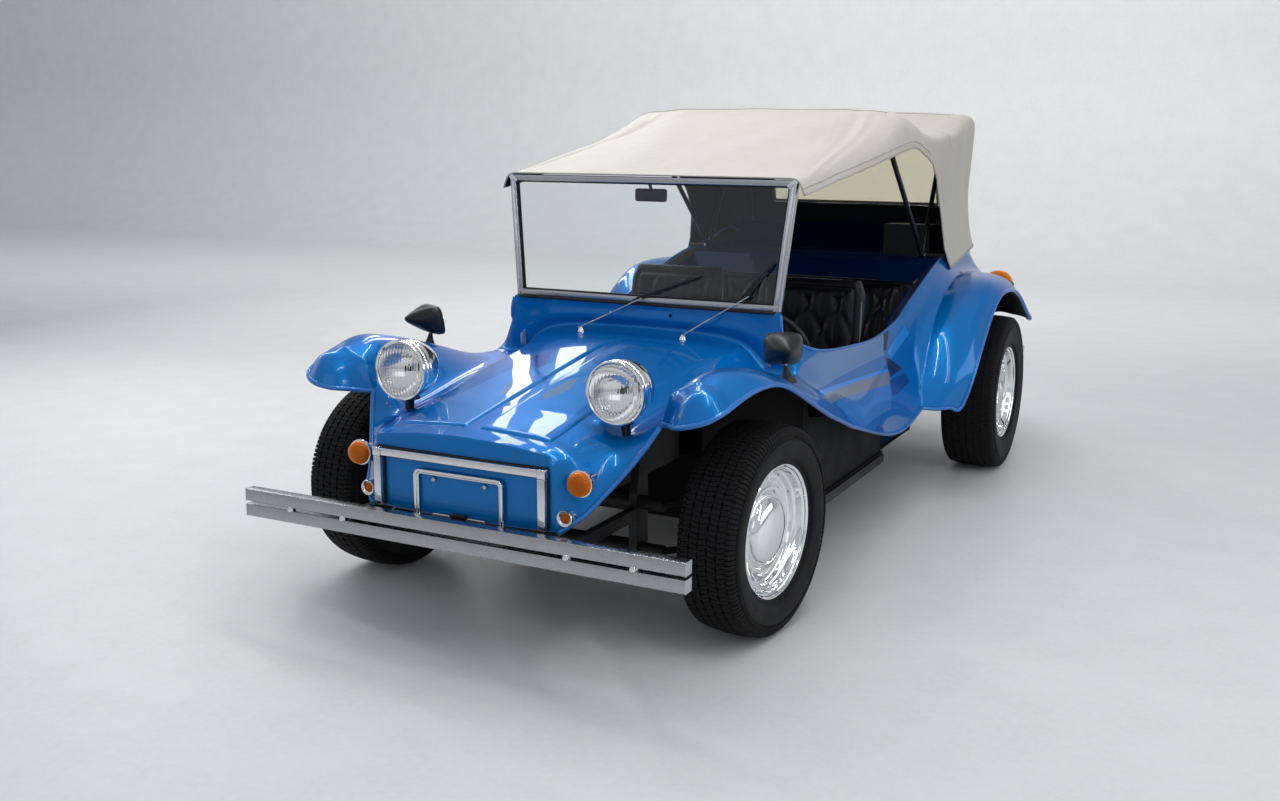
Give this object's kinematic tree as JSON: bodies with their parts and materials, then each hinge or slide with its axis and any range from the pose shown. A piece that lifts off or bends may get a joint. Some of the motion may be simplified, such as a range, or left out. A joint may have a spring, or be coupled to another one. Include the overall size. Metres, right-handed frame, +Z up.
{
  "type": "dune buggy",
  "caption": "Open dune buggy with a one-piece blue body, flared fenders, bullet headlamps, upright windscreen, cream fabric top and chrome wheels that steer and roll.",
  "frame": {"origin": "on the floor, halfway between the faces of the two bumpers and between the sides", "axes": "+X to the driver's side (the car's left), +Y towards the back, +Z up"},
  "size_m": [1.904, 3.765, 1.6041],
  "materials": {
    "body_blue": "gloss, metal flake under clear",
    "chassis_black": "satin",
    "cast_alloy": "as cast",
    "wheel_chrome": "polished",
    "tyre_rubber": "matt",
    "exhaust_steel": "heat-proof matt black",
    "bright_alloy": "brushed",
    "clear_glass": "clear",
    "black_trim": "satin black",
    "cream_vinyl": "coated fabric",
    "clear_vinyl": "clear sheet, slightly yellowed",
    "black_vinyl": "grained vinyl",
    "trim_chrome": "polished",
    "bumper_alloy": "polished",
    "amber_lens": "ribbed lens",
    "red_lens": "ribbed lens"
  },
  "bodies": {
    "chassis": {"front_fender_left": "body_blue", "front_fender_right": "body_blue", "side_panel_left": "body_blue", "side_panel_right": "body_blue", "rear_fender_left": "body_blue", "rear_fender_right": "body_blue", "hood": "body_blue", "cowl": "body_blue", "rear_tub": "body_blue", "floor_pan": "chassis_black", "footwell": "chassis_black", "side_rails": "chassis_black", "front_tray": "chassis_black", "front_beam": "chassis_black", "transaxle": "cast_alloy", "rear_axle": "chassis_black", "engine": "cast_alloy", "fan_housing": "chassis_black", "crank_pulley": "chassis_black", "exhaust": "exhaust_steel", "windscreen_frame": "bright_alloy", "windscreen_glass": "clear_glass", "wipers": "black_trim", "soft_top": "cream_vinyl", "rear_window": "clear_vinyl", "top_bows": "black_trim", "dash": "body_blue", "steering_column": "black_trim", "levers": "black_trim", "seat_left": "black_vinyl", "seat_right": "black_vinyl", "rear_bench": "black_vinyl", "luggage_box": "black_trim", "nose_trim": "trim_chrome", "plate_frame": "trim_chrome", "front_bumper": "bumper_alloy", "rear_bumper": "black_trim", "headlamp_shells": "trim_chrome", "headlamp_lenses": "clear_glass", "signal_lamps": "amber_lens", "small_lamps": "trim_chrome", "rear_marker_lamps": "amber_lens", "tail_lamps": "red_lens", "outside_mirrors": "black_trim", "inside_mirror": "black_trim"},
    "knuckle_left": {"knuckle_left": "chassis_black"},
    "knuckle_right": {"knuckle_right": "chassis_black"},
    "wheel_front_left": {"rim_front_left": "wheel_chrome", "tyre_front_left": "tyre_rubber"},
    "wheel_front_right": {"rim_front_right": "wheel_chrome", "tyre_front_right": "tyre_rubber"},
    "wheel_rear_left": {"rim_rear_left": "wheel_chrome", "tyre_rear_left": "tyre_rubber"},
    "wheel_rear_right": {"rim_rear_right": "wheel_chrome", "tyre_rear_right": "tyre_rubber"},
    "steering_wheel": {"steering_wheel": "black_trim"}
  },
  "joints": [
    {"name": "steer_left", "type": "hinge", "parent": "chassis", "child": "knuckle_left", "pos_m": [0.566, -1.2375, 0.327], "axis": [0, 0, 1], "range_deg": [-22.5, 33.5]},
    {"name": "steer_right", "type": "hinge", "parent": "chassis", "child": "knuckle_right", "pos_m": [-0.566, -1.2375, 0.327], "axis": [0, 0, 1], "range_deg": [-22.5, 33.5]},
    {"name": "steering_wheel_turn", "type": "hinge", "parent": "chassis", "child": "steering_wheel", "pos_m": [0.34, -0.3075, 0.715], "axis": [0, 0.8893, 0.4574], "range_deg": [-315, 469]},
    {"name": "spin_front_left", "type": "hinge", "parent": "knuckle_left", "child": "wheel_front_left", "pos_m": [0.69042, -1.24948, 0.327], "axis": [0.9954, -0.0958, 0], "continuous": true},
    {"name": "spin_front_right", "type": "hinge", "parent": "knuckle_right", "child": "wheel_front_right", "pos_m": [-0.69042, -1.22552, 0.327], "axis": [0.9954, -0.0958, 0], "continuous": true},
    {"name": "spin_rear_left", "type": "hinge", "parent": "chassis", "child": "wheel_rear_left", "pos_m": [0.834, 1.1625, 0.348], "axis": [1, 0, 0], "continuous": true},
    {"name": "spin_rear_right", "type": "hinge", "parent": "chassis", "child": "wheel_rear_right", "pos_m": [-0.834, 1.1625, 0.348], "axis": [1, 0, 0], "continuous": true}
  ],
  "couplings": [
    {"joint": "steer_right", "follows": "steer_left", "ratio": 1},
    {"joint": "steering_wheel_turn", "follows": "steer_left", "ratio": 14}
  ]
}
